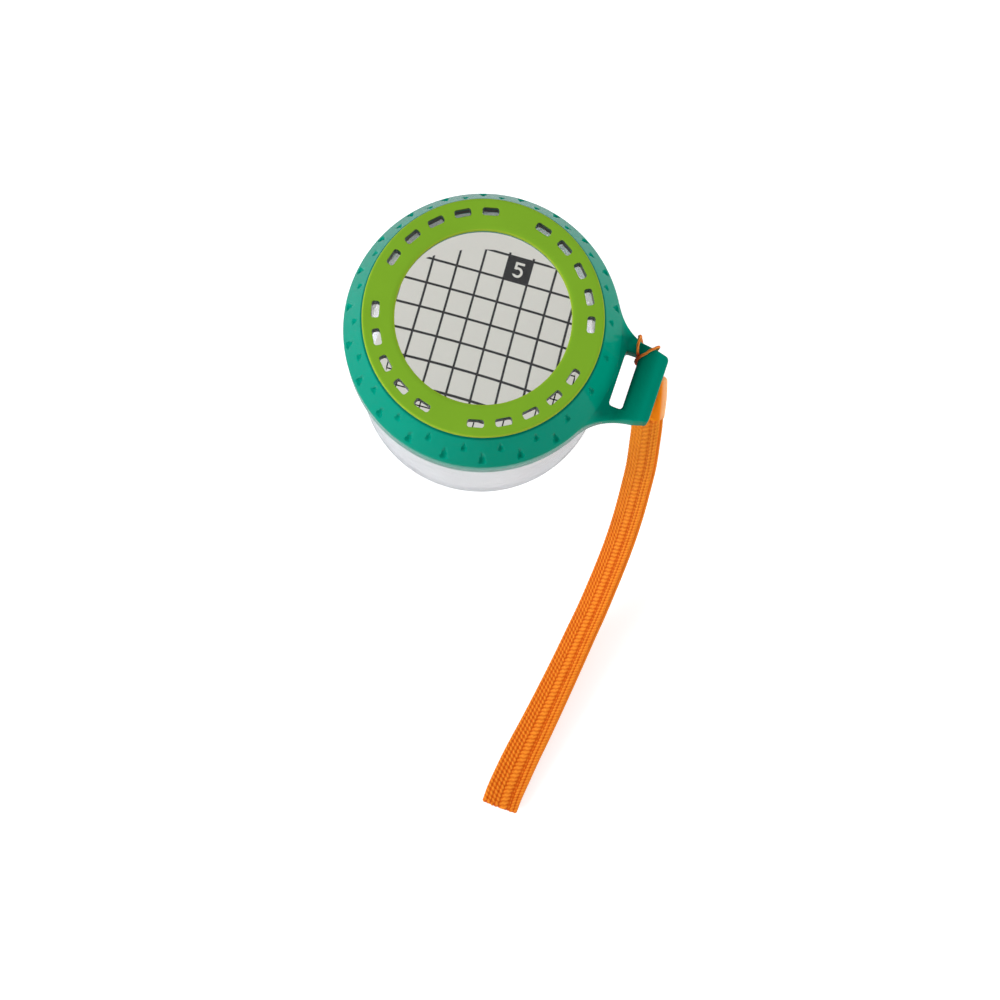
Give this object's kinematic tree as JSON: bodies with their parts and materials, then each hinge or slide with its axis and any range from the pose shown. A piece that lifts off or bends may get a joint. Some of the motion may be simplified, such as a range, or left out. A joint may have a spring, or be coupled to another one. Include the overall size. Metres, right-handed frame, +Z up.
{
  "type": "bug viewing jar",
  "caption": "Clear round jar with a measuring grid on its floor and a screw lid that carries a magnifier lens, a vent ring and a lug with a hitched wrist strap.",
  "frame": {"origin": "centre of the jar's flat underside, where it stands on a table", "axes": "+Z up along the jar's axis, +X towards the lid's strap lug"},
  "size_m": [0.1148, 0.1864, 0.097],
  "materials": {
    "clear_plastic": "clear moulded plastic",
    "printed_card": "matt card with a printed grid of 5 mm cells",
    "teal_plastic": "satin moulded plastic",
    "green_plastic": "satin moulded plastic",
    "lens_plastic": "polished clear plastic",
    "orange_cord": "thin twisted cord",
    "orange_plastic": "soft translucent plastic",
    "orange_braid": "flat ribbed braid"
  },
  "bodies": {
    "jar": {"jar": "clear_plastic", "grid_card": "printed_card"},
    "lens": {"magnifier_lens": "lens_plastic"},
    "lid": {"lid": "teal_plastic", "vent_ring": "green_plastic", "hitch_cord": "orange_cord", "cord_ferrule": "orange_plastic", "wrist_strap": "orange_braid"}
  },
  "joints": [
    {"name": "lid_lift", "type": "slide", "parent": "jar", "child": "lens", "axis": [0, 0, 1], "range_m": [0, 0.01501]},
    {"name": "lid_turn", "type": "hinge", "parent": "lens", "child": "lid", "pos_m": [0, 0, 0], "axis": [0, 0, 1], "range_deg": [0, 360]}
  ],
  "couplings": [
    {"joint": "lid_lift", "follows": "lid_turn", "m_per_rad": 0.0023873}
  ]
}
